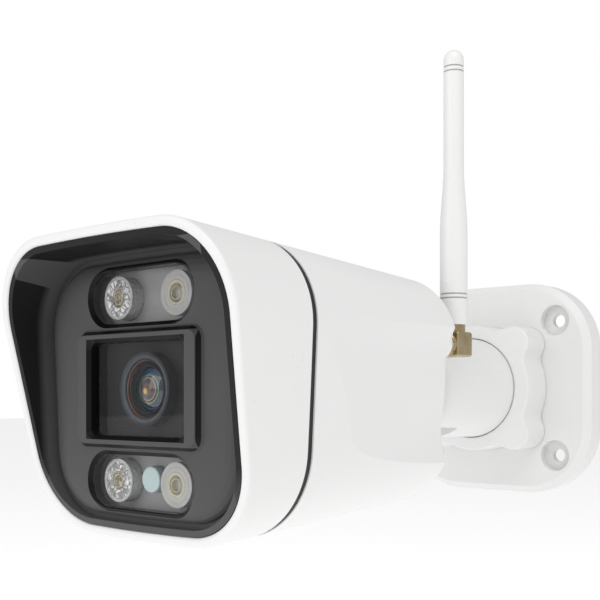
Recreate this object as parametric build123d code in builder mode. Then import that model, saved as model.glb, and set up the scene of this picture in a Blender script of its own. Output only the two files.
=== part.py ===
"""Bullet security camera on a swivelling wall bracket.

The origin is the centre of the wall plate's back face. The wall lies in the XZ plane, the camera looks
along -Y, and +Z is up. A station is a distance out from the wall, so station 178 is the plane Y = -178.
"""
from build123d import *
from math import cos, pi, sin
import os

# ---- wall plate
PLATE_WIDTH = 76.0
PLATE_HEIGHT = 75.0
PLATE_THICKNESS = 10.0
PLATE_CORNER = 24.0
PLATE_EDGE = 2.3
SCREW_SPACING_X = 50.8
SCREW_SPACING_Z = 47.6
SCREW_HOLE = 4.6
SCREW_COUNTERBORE = 10.8
SCREW_SINK = 3.3
PLUG_RECESS = 13.0
PLUG_RECESS_DEPTH = 4.4
COLLAR_WALL = 1.4
COLLAR_HEIGHT = 6.0
WASHER_WIDTH = 6.0
WASHER_THICKNESS = 1.5

# ---- clearances
FIT_GAP = 0.3
RUNNING_GAP = 0.05
SLIP_GAP = 0.1

# ---- lock ring
RING_FRONT = 25.0
RING_BODY = 22.2
RING_LOBE_OFFSET = 21.6
RING_LOBE_RADIUS = 6.3
RING_BLEND = 5.0
RING_LAND = 0.6
RING_SLOPE_DROP = 3.6
RING_SLOPE_REACH = 12.0
RING_EDGE = 1.0

# ---- swivel head
HEAD_RADIUS = 17.4
HEAD_TIP_RADIUS = 16.0
HEAD_END = 65.0
HEAD_ROUND = 4.5
FLANGE_STEP = 1.5
FLANGE_THICKNESS = 3.0
SLOT_HALF_WIDTH = 9.6
SLOT_END = 49.0
TILT_STATION = 55.5
KNUCKLE_RADIUS = 7.8
TILT_PIN_RADIUS = 2.5
TILT_HEAD_RADIUS = 4.4
TILT_HEAD_HEIGHT = 2.6
TILT_SOCKET = 2.0
TILT_SOCKET_DEPTH = 1.8
TILT_HEAD_SEAT = 12.4
TILT_INSERT_RADIUS = 3.8
TILT_INSERT_LENGTH = 4.0

# ---- arm
ARM_RADIUS = 7.0
ARM_FLARE_STATION = 75.0
ARM_FLARE_RADIUS = 9.5
ARM_FLANGE_RADIUS = 11.5
ARM_FLANGE_THICKNESS = 3.0
SPIGOT_RADIUS = 6.0
SPIGOT_NUT_RADIUS = 9.0
SPIGOT_NUT_THICKNESS = 4.0
SEAL_RADIUS = 8.6
SEAL_SECTION = 0.9

# ---- camera body
LENS_Z = -1.3
REAR_STATION = 91.0
REAR_HALF_WIDTH = 35.0
FRONT_HALF_WIDTH = 41.4
REAR_TOP = 32.1
FRONT_TOP = 36.5
REAR_BOTTOM = 35.3
FRONT_BOTTOM = 38.5
REAR_UPPER_CORNER = 22.0
FRONT_UPPER_CORNER = 20.5
REAR_LOWER_CORNER = 28.0
FRONT_LOWER_CORNER = 20.0
REAR_BULGE = 0.8
SEAM_BULGE = 0.4
RIM_BULGE = 0.1
REAR_ROUND = 0.8
REAR_WALL = 3.0
BOSS_PROUD = 2.0
ARM_BOSS_RADIUS = 13.0
GROOVE_STATION = 160.0
GROOVE_WIDTH = 2.0
GROOVE_DEPTH = 0.7
RIM_STATION = 184.5
RIM_SLOPE = 11.0
FRONT_STATION = 199.0
SHELL_WALL = 2.4
RIM_ROUND = 1.0
FRONT_LEAN = 0.08
CROWN = 1.0

# ---- relief pressed into each side of the rear housing: (height, depth under the widest point)
RELIEF_PROFILE = ((15.5, 0.7), (10.9, 2.7), (-2.0, 3.8), (-15.8, 4.9), (-20.1, 3.9))
RELIEF_END = 156.0
RELIEF_LIFT = 1.0
RELIEF_OUTSIDE = 8.0

# ---- front panel
PANEL_STATION = 178.0
PANEL_BACK = 171.0
LIP_WIDTH = 1.5
LIP_RECESS = 0.5
MOAT_DEPTH = 2.6
MOAT_WIDTH = 1.2
# The panel's face falls away to the moat round its edge, as a quarter ellipse drawn in flat steps.
PILLOW_REACH = 6.4
PILLOW_STEPS = 6
PANEL_FLOOR = 2.0
FRAME_BASE = (45.2, 29.4)
FRAME_DRAFT = 40.0
FRAME_HEIGHT = 1.7
FRAME_CORNER = 3.6
FRAME_OPENING = (33.7, 22.8)
OPENING_CORNER = 1.8
OPENING_BEVEL = 0.9
WINDOW_LENGTH = 36.8
WINDOW_HEIGHT = 13.2
WINDOW_RISE = 22.55
WINDOW_BEVEL = 1.0
COVER_RECESS = 0.9
COVER_THICKNESS = 1.2
GLASS_RECESS = 0.4
MIC_SPOT = (31.0, 4.0)
MIC_HOLE = 0.7
MIC_BOOT_RADIUS = 2.7
MIC_BOOT_LENGTH = 4.0
MIC_BOOT_FLOOR = 1.4
MIC_RADIUS = 2.15

# ---- lights
LED_SPREAD = 10.5
LED_LENS_RADIUS = 5.35
LED_LENS_FRONT = 175.4
LED_BOARD_STATION = 166.0
LED_BOARD = (33.0, 14.4)
HOLDER_STATION = 170.0
HOLDER_THICKNESS = 1.8
HOLDER = (39.6, 15.0)
LED_CUP_BASE = 2.6
LED_CUP_WAIST = 4.4
LED_WELL_RADIUS = 2.4
LED_WELL_BOTTOM = 1.9
LED_WELL_DEPTH = 1.6
EMITTER = 3.4
EMITTER_HEIGHT = 0.8
SENSOR_CHIP_HEIGHT = 0.8
SENSOR_CHIP = (2.4, 2.0)
HOLDER_LEG = 1.2
HOLDER_LEG_INSET = 1.5
PIPE_SPOT = (0.75, 0.75)
PIPE_RADIUS = 3.2
PIPE_ROUND = 0.4
PIPE_FRONT = 174.8

# ---- lens and boards
LENS_FRONT = 176.2
LENS_HOOD_RADIUS = 8.95
LENS_THREAD_RADIUS = 6.0
LENS_NECK_RADIUS = 7.4
LENS_NECK_STATION = 163.0
LENS_FLARE = (168.5, 170.5)
LENS_LIP_RADIUS = 8.3
LENS_CONE_RADIUS = 7.1
LENS_CONE_DEPTH = 0.5
LENS_BORE = 5.9
LENS_BORE_DEPTH = 2.6
LENS_SEAT_DEPTH = 6.0
LENS_CLEAR_RADIUS = 4.4
DOME_RADIUS = 5.5
DOME_RISE = 2.0
DOME_SET_BACK = 2.8
ELEMENT_THICKNESS = 2.6
REAR_ELEMENTS = ((154.0, 2.0), (158.5, 1.8), (163.0, 2.4))
LENS_NUT_STATION = 157.6
LENS_NUT_THICKNESS = 2.8
LENS_NUT_RADIUS = 8.2
LENS_NUT_GRIPS = 20
LENS_NUT_GRIP_RADIUS = 0.7
HOLDER_TUBE_END = 157.0
HOLDER_TUBE_RADIUS = 7.6
MASK_STATION = 171.8
MASK_THICKNESS = 1.4
MASK_MARGIN = 4.8
FILTER_TRAVEL = 6.6
FILTER_PANE = 6.0
FILTER_BAR = 0.6
FILTER_CASE = 6.0
CHANNEL_SPARE = (3.0, 2.4)
CHANNEL_RISE = 2.6
CASE_MARGIN = (3.0, 7.0)
THREAD_START = 2.0
SHUTTLE_THICKNESS = 0.9
COIL = (3.6, 9.0, 4.5)
COIL_OVERLAP = 0.4
IMAGE_SENSOR = (8.0, 7.0, 1.2)
SENSOR_WELL = (9.4, 8.4)
BOARD_SCREW_RADIUS = 1.0
BOARD_SCREW_HEAD = 1.4
BOARD_SCREW_LENGTH = 8.0
BOARD_WALL_GAP = 5.6
BOARD_RIM = 4.0
BOARD_SHOULDER = 6.0
BOARD = 1.6
SENSOR_BOARD_STATION = 144.0
MAIN_BOARD_STATION = 124.0
POST_Z = 9.5
POST_RADIUS = 2.6
HOUSING_SCREW_X = 21.0
HOUSING_SCREW_Z = 22.0
HOUSING_SCREW_RADIUS = 1.5
HOUSING_HEAD_RADIUS = 2.75
HOUSING_HEAD_HEIGHT = 2.0
HOUSING_BOSS_RADIUS = 3.9
HOUSING_HEAD_SEAT = 94.0
HOUSING_SCREW_END = 167.0
HOOD_BOSS_END = 168.8

HEAT_SINK = (34.0, 24.0)
HEAT_SINK_LIFT = 3.4
HEAT_SINK_BASE = 2.0
FIN_COUNT = 9
FIN_PITCH = 4.0
FIN_WIDTH = 1.2
FIN_HEIGHT = 8.0
PROCESSOR = 14.0
PAD = 16.0
PAD_THICKNESS = 1.0
RADIO = (14.0, 18.0, 2.6)
RADIO_SPOT = (14.0, 6.0)
# Each connector is (across, up, width).
CONNECTORS = ((-12, 8, 14), (-12, -8, 10), (10, -12, 12))
CONNECTOR_HEIGHT = 4.5
CONNECTOR_DEPTH = 5.5

# ---- joint between the shells
SEAL_WALL = 2.7
GASKET_THICKNESS = 1.2
LEDGE_THICKNESS = 1.0
LEDGE_WIDTH = 3.6
RIB = 1.6

# ---- cable gland
GLAND_Z = -22.0
GLAND_BORE = 2.6
GLAND_RADIUS = 6.0
GLAND_NECK = 4.4
GLAND_PROUD = 5.0
GLAND_TIP_RADIUS = 4.6
GLAND_SHOULDER = 1.6
GLAND_LATCH = 1.0
GLAND_LATCH_END = 0.6

# ---- antenna
ANTENNA_X = 27.4
ANTENNA_STATION = 80.4
JACK_Z = 12.3
JACK_BOSS_RADIUS = 4.9
JACK_BOSS_DEPTH = 2.0
JACK_RADIUS = 3.1
JACK_NUT = 4.6
JACK_NUT_THICKNESS = 2.0
JACK_BORE = 1.2
JACK_CORE = 2.2
JACK_CORE_LENGTH = 2.5
JACK_FLANGE = 3.5
JACK_FLANGE_THICKNESS = 1.5
COUPLING_RADIUS = 3.9
COUPLING_GAP = 0.4
COUPLING_EDGE = 0.4
ELBOW_WIDTH = 8.1
ELBOW_HEIGHT = 7.3
ELBOW_EDGE = 0.5
NECK_RADIUS = 3.4
STEM_RADIUS = 2.4
STEM_LENGTH = 4.0
SLEEVE_BOTTOM = 18.1
SLEEVE_TIP = 99.4
SLEEVE_RADIUS = 4.05
WHIP_RADIUS = 2.98
TAPER_LOW = 44.5
TAPER_HIGH = 65.5
BANDS = (25.7, 26.9, 92.6, 94.0)
BAND_WIDTH = 0.45
BAND_DEPTH = 0.35
RADIATOR_RADIUS = 0.8
RADIATOR_END = 7.0


def station(distance):
    """Plane parallel to the wall: local x is +X, local y is +Z, and the normal points away from it."""
    return Plane.XZ.offset(distance)


def save(builder, name):
    builder.part.label = name
    export_step(builder.part, f"parts/{name}.step")


def turned(points, x=0.0, z=0.0, mode=Mode.ADD):
    """Solid turned about a line along Y through (x, z), from (station, radius) points."""
    with BuildSketch(Plane(origin=(x, 0, z), x_dir=(0, -1, 0), z_dir=(-1, 0, 0))) as profile:
        with BuildLine():
            Polyline(*points, close=True)
        make_face()
    revolve(profile.sketch, axis=Axis((x, 0, z), (0, 1, 0)), mode=mode)


def disc(start, end, radius, x=0.0, z=0.0, mode=Mode.ADD):
    """Round bar or hole along Y between two stations."""
    with BuildSketch(station(start)) as profile:
        with Locations((x, z)):
            Circle(radius)
    extrude(profile.sketch, amount=end - start, mode=mode)


def plate(start, end, width, height, x=0.0, z=0.0, mode=Mode.ADD):
    """Rectangular block between two stations."""
    with BuildSketch(station(start)) as profile:
        with Locations((x, z)):
            Rectangle(width, height)
    extrude(profile.sketch, amount=end - start, mode=mode)


def growing(distance, near, far):
    """A size of the body at a station, between its values at the rear face and the front station."""
    share = (distance - REAR_STATION) / (FRONT_STATION - REAR_STATION)
    return near + (far - near) * share


def body_half(distance):
    return growing(distance, REAR_HALF_WIDTH, FRONT_HALF_WIDTH)


def body_top(distance):
    return growing(distance, REAR_TOP, FRONT_TOP)


def body_bottom(distance):
    return -growing(distance, REAR_BOTTOM, FRONT_BOTTOM)


def body_outline(distance, inset, bulge):
    """The body's section: a rounded keystone with crowned top and bottom, drawn in the active sketch."""
    half = body_half(distance) - inset
    top = body_top(distance) - inset
    bottom = body_bottom(distance) + inset
    upper_corner = growing(distance, REAR_UPPER_CORNER, FRONT_UPPER_CORNER) - inset
    lower_corner = growing(distance, REAR_LOWER_CORNER, FRONT_LOWER_CORNER) - inset
    lean = growing(distance, 0, FRONT_LEAN)
    wide = half + lean * top
    narrow = half + lean * bottom
    side = (wide + narrow) / 2 + bulge
    level = (top + bottom) / 2
    with BuildLine() as edge:
        roof = ThreePointArc((-wide, top - CROWN), (0, top), (wide, top - CROWN))
        ThreePointArc(roof @ 1, (side, level), (narrow, bottom + CROWN))
        floor = ThreePointArc((narrow, bottom + CROWN), (0, bottom), (-narrow, bottom + CROWN))
        ThreePointArc(floor @ 1, (-side, level), roof @ 0)
    make_face(edge.edges())
    fillet(vertices().group_by(Axis.Y)[-1], upper_corner)
    fillet(vertices().filter_by(lambda v: abs(v.Y - bottom - CROWN) < 0.01), lower_corner)


def body_loft(start, end, inset, mode=Mode.ADD, near_bulge=RIM_BULGE, far_bulge=RIM_BULGE):
    """Stretch of the body between two stations, shrunk all round by an inset."""
    with BuildSketch(station(start)) as near:
        body_outline(start, inset, near_bulge)
    with BuildSketch(station(end)) as far:
        body_outline(end, inset, far_bulge)
    loft([near.sketch, far.sketch], mode=mode)


def relief_outline(side, distance, wall):
    """Section of a side relief, moved in by a wall, drawn in the active sketch."""
    share = (RELIEF_END - distance) / (RELIEF_END - REAR_STATION)
    widest = body_half(distance) - wall
    points = [(widest + RELIEF_LIFT - share * (depth + RELIEF_LIFT), height)
              for height, depth in RELIEF_PROFILE]
    above = (2 * points[0][0] - points[1][0], 2 * points[0][1] - points[1][1])
    below = (2 * points[-1][0] - points[-2][0], 2 * points[-1][1] - points[-2][1])
    inner = [(side * x, z) for x, z in (above, *points, below)]
    outside = side * (widest + RELIEF_OUTSIDE)
    with BuildLine() as edge:
        Spline(*inner)
        Polyline(inner[-1], (outside, below[1]), (outside, above[1]), inner[0])
    make_face(edge.edges())


def relief(side, wall):
    """Cuts a side relief, moved in by a wall, from the active part."""
    start = REAR_STATION - RELIEF_LIFT
    end = RELIEF_END - RELIEF_LIFT
    with BuildSketch(station(start)) as near:
        relief_outline(side, start, wall)
    with BuildSketch(station(end)) as far:
        relief_outline(side, end, wall)
    loft([near.sketch, far.sketch], ruled=True, mode=Mode.SUBTRACT)


def rim_plane(shift):
    """The slanted plane of the hood's front edge, moved back by a shift."""
    upright = Plane(origin=(0, -RIM_STATION, LENS_Z), x_dir=(1, 0, 0), z_dir=(0, -1, 0))
    return upright.rotated((RIM_SLOPE, 0, 0)).offset(-shift)


def window_slot(side, gap):
    """Outline of the long light window above (1) or below (-1) the lens, shrunk by a gap."""
    with Locations((0, LENS_Z + side * WINDOW_RISE)):
        SlotOverall(WINDOW_LENGTH - 2 * gap, WINDOW_HEIGHT - 2 * gap)


def led_spots(side):
    return [(x, LENS_Z + side * WINDOW_RISE) for x in (-LED_SPREAD, LED_SPREAD)]


led_places = led_spots(1) + led_spots(-1)
post_x = body_half(MAIN_BOARD_STATION) - SHELL_WALL - BOARD_WALL_GAP - BOARD_RIM
post_places = [(x, LENS_Z + z) for x in (-post_x, post_x) for z in (-POST_Z, POST_Z)]
screw_places = [(x, LENS_Z + z) for x in (-HOUSING_SCREW_X, HOUSING_SCREW_X)
                for z in (-HOUSING_SCREW_Z, HOUSING_SCREW_Z)]
pipe_place = (PIPE_SPOT[0], LENS_Z - WINDOW_RISE + PIPE_SPOT[1])

os.makedirs("parts", exist_ok=True)

# ======================================================================== wall plate
head_bore = HEAD_RADIUS + FIT_GAP
flange_radius = HEAD_RADIUS + FLANGE_STEP
collar_radius = flange_radius + FIT_GAP
collar_outside = collar_radius + COLLAR_WALL
collar_top = PLATE_THICKNESS + COLLAR_HEIGHT
washer_front = PLATE_THICKNESS + WASHER_THICKNESS
flange_back = washer_front + RUNNING_GAP
flange_front = flange_back + FLANGE_THICKNESS

with BuildPart() as wall_plate:
    with BuildSketch(station(0)):
        RectangleRounded(PLATE_WIDTH, PLATE_HEIGHT, PLATE_CORNER)
    extrude(amount=PLATE_THICKNESS)
    chamfer(wall_plate.faces().sort_by(Axis.Y)[0].edges(), PLATE_EDGE)
    with BuildSketch(station(PLATE_THICKNESS)):
        Circle(collar_outside)
        Circle(collar_radius, mode=Mode.SUBTRACT)
    extrude(amount=COLLAR_HEIGHT)
    with Locations(station(PLATE_THICKNESS)):
        with GridLocations(SCREW_SPACING_X, SCREW_SPACING_Z, 2, 2):
            CounterBoreHole(SCREW_HOLE / 2, SCREW_COUNTERBORE / 2, SCREW_SINK)
    with BuildSketch(station(0)):
        with GridLocations(SCREW_SPACING_X, SCREW_SPACING_Z, 2, 2):
            Circle(PLUG_RECESS / 2)
    extrude(amount=PLUG_RECESS_DEPTH, mode=Mode.SUBTRACT)
save(wall_plate, "wall_plate")

with BuildPart() as friction_washer:
    disc(PLATE_THICKNESS, washer_front, flange_radius)
    disc(PLATE_THICKNESS, washer_front, flange_radius - WASHER_WIDTH, mode=Mode.SUBTRACT)
save(friction_washer, "friction_washer")

# ======================================================================== lock ring
ring_back = PLATE_THICKNESS + FIT_GAP
cone_foot = RING_FRONT - RING_SLOPE_DROP
cone_reach = head_bore + RING_LAND + RING_SLOPE_REACH
clamp_face = flange_front + RUNNING_GAP

with BuildPart() as lock_ring:
    with BuildSketch(station(ring_back)) as lobes:
        Circle(RING_BODY)
        with PolarLocations(RING_LOBE_OFFSET, 4, start_angle=45):
            Circle(RING_LOBE_RADIUS)
        fillet(lobes.vertices(), RING_BLEND)
    extrude(amount=RING_FRONT - ring_back)
    turned([(ring_back, 0), (ring_back, cone_reach), (cone_foot, cone_reach),
            (RING_FRONT, head_bore + RING_LAND), (RING_FRONT, 0)], mode=Mode.INTERSECT)
    fillet(lock_ring.edges().filter_by(lambda e: e.center().Y < -cone_foot + RING_EDGE
                                       and e.length < 2 * head_bore), RING_EDGE)
    disc(ring_back, collar_top + FIT_GAP, collar_outside + FIT_GAP, mode=Mode.SUBTRACT)
    disc(clamp_face, collar_top + FIT_GAP, collar_radius - FIT_GAP)
    disc(clamp_face, RING_FRONT, head_bore, mode=Mode.SUBTRACT)
save(lock_ring, "lock_ring")

# ======================================================================== swivel head
slot_roof = KNUCKLE_RADIUS + FIT_GAP
blind_end = SLOT_HALF_WIDTH + TILT_INSERT_LENGTH
tilt_axis = Plane(origin=(0, -TILT_STATION, 0), x_dir=(0, 1, 0), z_dir=(1, 0, 0))

with BuildPart() as swivel_head:
    turned([(flange_back, 0), (flange_back, flange_radius), (flange_front, flange_radius),
            (flange_front, HEAD_RADIUS), (RING_FRONT, HEAD_RADIUS), (HEAD_END, HEAD_TIP_RADIUS),
            (HEAD_END, 0)])
    fillet(swivel_head.faces().sort_by(Axis.Y)[0].edges(), HEAD_ROUND)
    with BuildSketch(Plane.YZ.offset(-SLOT_HALF_WIDTH)):
        with Locations((-TILT_STATION, 0)):
            Circle(slot_roof)
        with Locations((-HEAD_END - FIT_GAP, slot_roof)):
            Rectangle(HEAD_END + FIT_GAP - TILT_STATION, 2 * slot_roof, align=(Align.MIN, Align.MAX))
        with Locations((-HEAD_END - FIT_GAP, 0)):
            Rectangle(HEAD_END + FIT_GAP - SLOT_END, HEAD_RADIUS + FIT_GAP, align=(Align.MIN, Align.MAX))
    extrude(amount=2 * SLOT_HALF_WIDTH, mode=Mode.SUBTRACT)
    with BuildSketch(tilt_axis.offset(-HEAD_RADIUS)):
        Circle(TILT_PIN_RADIUS)
    extrude(amount=HEAD_RADIUS + blind_end, mode=Mode.SUBTRACT)
    with BuildSketch(tilt_axis.offset(-HEAD_RADIUS)):
        Circle(TILT_HEAD_RADIUS + SLIP_GAP)
    extrude(amount=HEAD_RADIUS - TILT_HEAD_SEAT, mode=Mode.SUBTRACT)
    with BuildSketch(tilt_axis.offset(SLOT_HALF_WIDTH)):
        Circle(TILT_INSERT_RADIUS)
    extrude(amount=TILT_INSERT_LENGTH, mode=Mode.SUBTRACT)
save(swivel_head, "swivel_head")

with BuildPart() as tilt_screw:
    with BuildSketch(tilt_axis.offset(-TILT_HEAD_SEAT - TILT_HEAD_HEIGHT)):
        Circle(TILT_HEAD_RADIUS)
    extrude(amount=TILT_HEAD_HEIGHT)
    with BuildSketch(tilt_axis.offset(-TILT_HEAD_SEAT)):
        Circle(TILT_PIN_RADIUS)
    extrude(amount=TILT_HEAD_SEAT + blind_end - FIT_GAP)
    with BuildSketch(tilt_axis.offset(-TILT_HEAD_SEAT - TILT_HEAD_HEIGHT)):
        RegularPolygon(TILT_SOCKET, 6)
    extrude(amount=TILT_SOCKET_DEPTH, mode=Mode.SUBTRACT)
save(tilt_screw, "tilt_screw")

with BuildPart() as tilt_insert:
    with BuildSketch(tilt_axis.offset(SLOT_HALF_WIDTH)):
        Circle(TILT_INSERT_RADIUS)
        Circle(TILT_PIN_RADIUS, mode=Mode.SUBTRACT)
    extrude(amount=TILT_INSERT_LENGTH)
save(tilt_insert, "tilt_insert")

# ======================================================================== arm
boss_face = REAR_STATION - BOSS_PROUD
arm_flange_back = boss_face - FIT_GAP
arm_flange_front = arm_flange_back - ARM_FLANGE_THICKNESS
inner_wall = REAR_STATION + REAR_WALL
knuckle_width = 2 * (SLOT_HALF_WIDTH - FIT_GAP)
spigot_end = inner_wall + FIT_GAP + SPIGOT_NUT_THICKNESS

with BuildPart() as tilt_arm:
    with BuildSketch(tilt_axis.offset(-knuckle_width / 2)):
        Circle(KNUCKLE_RADIUS)
    extrude(amount=knuckle_width)
    turned([(TILT_STATION, 0), (TILT_STATION, ARM_RADIUS), (ARM_FLARE_STATION, ARM_RADIUS),
            (arm_flange_front, ARM_FLARE_RADIUS),
            (arm_flange_front, ARM_FLANGE_RADIUS), (arm_flange_back, ARM_FLANGE_RADIUS),
            (arm_flange_back, SPIGOT_RADIUS), (spigot_end, SPIGOT_RADIUS), (spigot_end, 0)])
    with BuildSketch(station(arm_flange_back)):
        Circle(SEAL_RADIUS + SEAL_SECTION)
        Circle(SEAL_RADIUS - SEAL_SECTION, mode=Mode.SUBTRACT)
    extrude(amount=-2 * SEAL_SECTION + SLIP_GAP, mode=Mode.SUBTRACT)
    with BuildSketch(tilt_axis.offset(-knuckle_width / 2)):
        Circle(TILT_PIN_RADIUS + RUNNING_GAP)
    extrude(amount=knuckle_width, mode=Mode.SUBTRACT)
save(tilt_arm, "tilt_arm")

with BuildPart() as arm_seal:
    with BuildSketch(Plane.YZ):
        with Locations((SEAL_SECTION - arm_flange_back - SLIP_GAP, SEAL_RADIUS)):
            Circle(SEAL_SECTION)
    revolve(axis=Axis.Y)
save(arm_seal, "arm_seal")

with BuildPart() as arm_nut:
    with BuildSketch(station(inner_wall + FIT_GAP)):
        RegularPolygon(SPIGOT_NUT_RADIUS, 6)
        Circle(SPIGOT_RADIUS, mode=Mode.SUBTRACT)
    extrude(amount=SPIGOT_NUT_THICKNESS)
save(arm_nut, "arm_nut")

# ======================================================================== rear housing
groove_back = GROOVE_STATION - GROOVE_WIDTH / 2
groove_front = GROOVE_STATION + GROOVE_WIDTH / 2
jack_face = REAR_STATION - BOSS_PROUD
jack_seat = inner_wall + JACK_BOSS_DEPTH

with BuildPart() as cavity:
    body_loft(inner_wall, groove_back, SHELL_WALL)
    relief(1, SHELL_WALL)
    relief(-1, SHELL_WALL)

with BuildPart() as rear_housing:
    body_loft(REAR_STATION, groove_back, 0, near_bulge=REAR_BULGE, far_bulge=SEAM_BULGE)
    relief(1, 0)
    relief(-1, 0)
    fillet(rear_housing.faces().sort_by(Axis.Y)[-1].edges(), REAR_ROUND)
    add(cavity.part, mode=Mode.SUBTRACT)
    with BuildSketch(station(inner_wall)):
        with Locations(*screw_places):
            Circle(HOUSING_BOSS_RADIUS)
    extrude(amount=groove_back - inner_wall)
    disc(boss_face, inner_wall, ARM_BOSS_RADIUS)
    disc(jack_face, jack_seat, JACK_BOSS_RADIUS, ANTENNA_X, JACK_Z)
    disc(boss_face, inner_wall, SPIGOT_RADIUS + RUNNING_GAP, mode=Mode.SUBTRACT)
    disc(jack_face, jack_seat, JACK_RADIUS, ANTENNA_X, JACK_Z, mode=Mode.SUBTRACT)
    disc(REAR_STATION, inner_wall, GLAND_NECK, z=GLAND_Z, mode=Mode.SUBTRACT)
    with BuildSketch(station(REAR_STATION)):
        with Locations(*screw_places):
            Circle(HOUSING_SCREW_RADIUS)
    extrude(amount=groove_back - REAR_STATION, mode=Mode.SUBTRACT)
    with BuildSketch(station(REAR_STATION)):
        with Locations(*screw_places):
            Circle(HOUSING_HEAD_RADIUS + FIT_GAP)
    extrude(amount=HOUSING_HEAD_SEAT - REAR_STATION, mode=Mode.SUBTRACT)
save(rear_housing, "rear_housing")

# ======================================================================== front hood
gasket_back = PANEL_BACK - GASKET_THICKNESS
ledge_back = gasket_back - LEDGE_THICKNESS
ledge_inset = SHELL_WALL + LEDGE_WIDTH
rib_top = body_top(groove_front) - CROWN - SHELL_WALL / 2
rib_bottom = body_bottom(groove_front) + CROWN + SHELL_WALL / 2

with BuildPart() as front_hood:
    body_loft(groove_front, FRONT_STATION, 0, near_bulge=SEAM_BULGE, far_bulge=RIM_BULGE)
    split(bisect_by=rim_plane(0), keep=Keep.BOTTOM)
    body_loft(gasket_back, FRONT_STATION, SHELL_WALL, mode=Mode.SUBTRACT)
    fillet(front_hood.faces().sort_by(Axis.Y)[0].edges(), RIM_ROUND)
    body_loft(groove_front, ledge_back, SHELL_WALL, mode=Mode.SUBTRACT)
    body_loft(ledge_back, gasket_back, ledge_inset, mode=Mode.SUBTRACT)
    with BuildSketch(station(groove_front)):
        with Locations(*screw_places):
            Circle(HOUSING_BOSS_RADIUS)
    extrude(amount=HOOD_BOSS_END - groove_front)
    with BuildSketch(station(groove_front)):
        for reach, level in ((rib_top, LENS_Z + HOUSING_SCREW_Z), (rib_bottom, LENS_Z - HOUSING_SCREW_Z)):
            middle = (reach + level) / 2
            with Locations((-HOUSING_SCREW_X, middle), (HOUSING_SCREW_X, middle)):
                Rectangle(RIB, abs(reach - level))
    extrude(amount=HOOD_BOSS_END - groove_front)
    with BuildSketch(station(groove_front)):
        with Locations(*screw_places):
            Circle(HOUSING_SCREW_RADIUS)
    extrude(amount=HOUSING_SCREW_END - groove_front, mode=Mode.SUBTRACT)
save(front_hood, "front_hood")

# The seal fills the groove between the two shells and a lip of it locates them.
with BuildPart() as body_seal:
    body_loft(groove_back, groove_front, GROOVE_DEPTH)
    body_loft(groove_back, groove_front, GROOVE_DEPTH + SEAL_WALL, mode=Mode.SUBTRACT)
save(body_seal, "body_seal")

with BuildPart() as housing_screws:
    with BuildSketch(station(HOUSING_HEAD_SEAT)):
        with Locations(*screw_places):
            Circle(HOUSING_SCREW_RADIUS)
    extrude(amount=HOUSING_SCREW_END - HOUSING_HEAD_SEAT - FIT_GAP)
    with BuildSketch(station(HOUSING_HEAD_SEAT - HOUSING_HEAD_HEIGHT)):
        with Locations(*screw_places):
            Circle(HOUSING_HEAD_RADIUS)
    extrude(amount=HOUSING_HEAD_HEIGHT)
    with BuildSketch(station(HOUSING_HEAD_SEAT - HOUSING_HEAD_HEIGHT)):
        with Locations(*screw_places):
            RegularPolygon(HOUSING_SCREW_RADIUS, 6)
    extrude(amount=HOUSING_HEAD_HEIGHT / 2, mode=Mode.SUBTRACT)
save(housing_screws, "housing_screws")

# ======================================================================== front panel
panel_inset = SHELL_WALL + SLIP_GAP
pillow_inset = panel_inset + LIP_WIDTH + MOAT_WIDTH
moat_floor = PANEL_STATION - MOAT_DEPTH
panel_rear = moat_floor - PANEL_FLOOR
frame_front = PANEL_STATION + FRAME_HEIGHT


def pillow_layer(step):
    """One outline of the panel's swell, from the moat's floor (step 0) up to the flat face."""
    turn = pi / 2 * step / PILLOW_STEPS
    with BuildSketch(station(moat_floor + MOAT_DEPTH * sin(turn))) as layer:
        body_outline(moat_floor, pillow_inset + PILLOW_REACH * (1 - cos(turn)), RIM_BULGE)
    return layer.sketch


with BuildPart() as front_panel:
    body_loft(PANEL_BACK, FRONT_STATION, panel_inset)
    split(bisect_by=rim_plane(LIP_RECESS), keep=Keep.BOTTOM)
    body_loft(moat_floor, FRONT_STATION, panel_inset + LIP_WIDTH, mode=Mode.SUBTRACT)
    body_loft(PANEL_BACK, panel_rear, panel_inset + LIP_WIDTH, mode=Mode.SUBTRACT)
    for step in range(PILLOW_STEPS):
        loft([pillow_layer(step), pillow_layer(step + 1)])
    with BuildSketch(station(PANEL_STATION)):
        with Locations((0, LENS_Z)):
            RectangleRounded(*FRAME_BASE, FRAME_CORNER)
    extrude(amount=FRAME_HEIGHT, taper=FRAME_DRAFT)
    with BuildSketch(station(panel_rear)):
        with Locations((0, LENS_Z)):
            RectangleRounded(*FRAME_OPENING, OPENING_CORNER)
    extrude(amount=frame_front - panel_rear, mode=Mode.SUBTRACT)
    opening = front_panel.faces().filter_by(Axis.Y).group_by(Axis.Y)[0].wires().sort_by(SortBy.LENGTH)[0]
    chamfer(opening.edges(), OPENING_BEVEL)
    for side in (1, -1):
        with BuildSketch(station(panel_rear)):
            window_slot(side, 0)
        extrude(amount=PANEL_STATION - panel_rear, mode=Mode.SUBTRACT)
        with BuildSketch(station(PANEL_STATION)):
            window_slot(side, -WINDOW_BEVEL)
        extrude(amount=-WINDOW_BEVEL, taper=45, mode=Mode.SUBTRACT)
    disc(panel_rear, PANEL_STATION, MIC_HOLE, MIC_SPOT[0], LENS_Z + MIC_SPOT[1], mode=Mode.SUBTRACT)
    with BuildSketch(station(SENSOR_BOARD_STATION + BOARD)):
        with Locations(*post_places):
            Circle(POST_RADIUS)
    extrude(amount=panel_rear - SENSOR_BOARD_STATION - BOARD)
save(front_panel, "front_panel")

with BuildPart() as panel_gasket:
    body_loft(gasket_back, PANEL_BACK, panel_inset)
    body_loft(gasket_back, PANEL_BACK, ledge_inset, mode=Mode.SUBTRACT)
save(panel_gasket, "panel_gasket")

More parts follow.
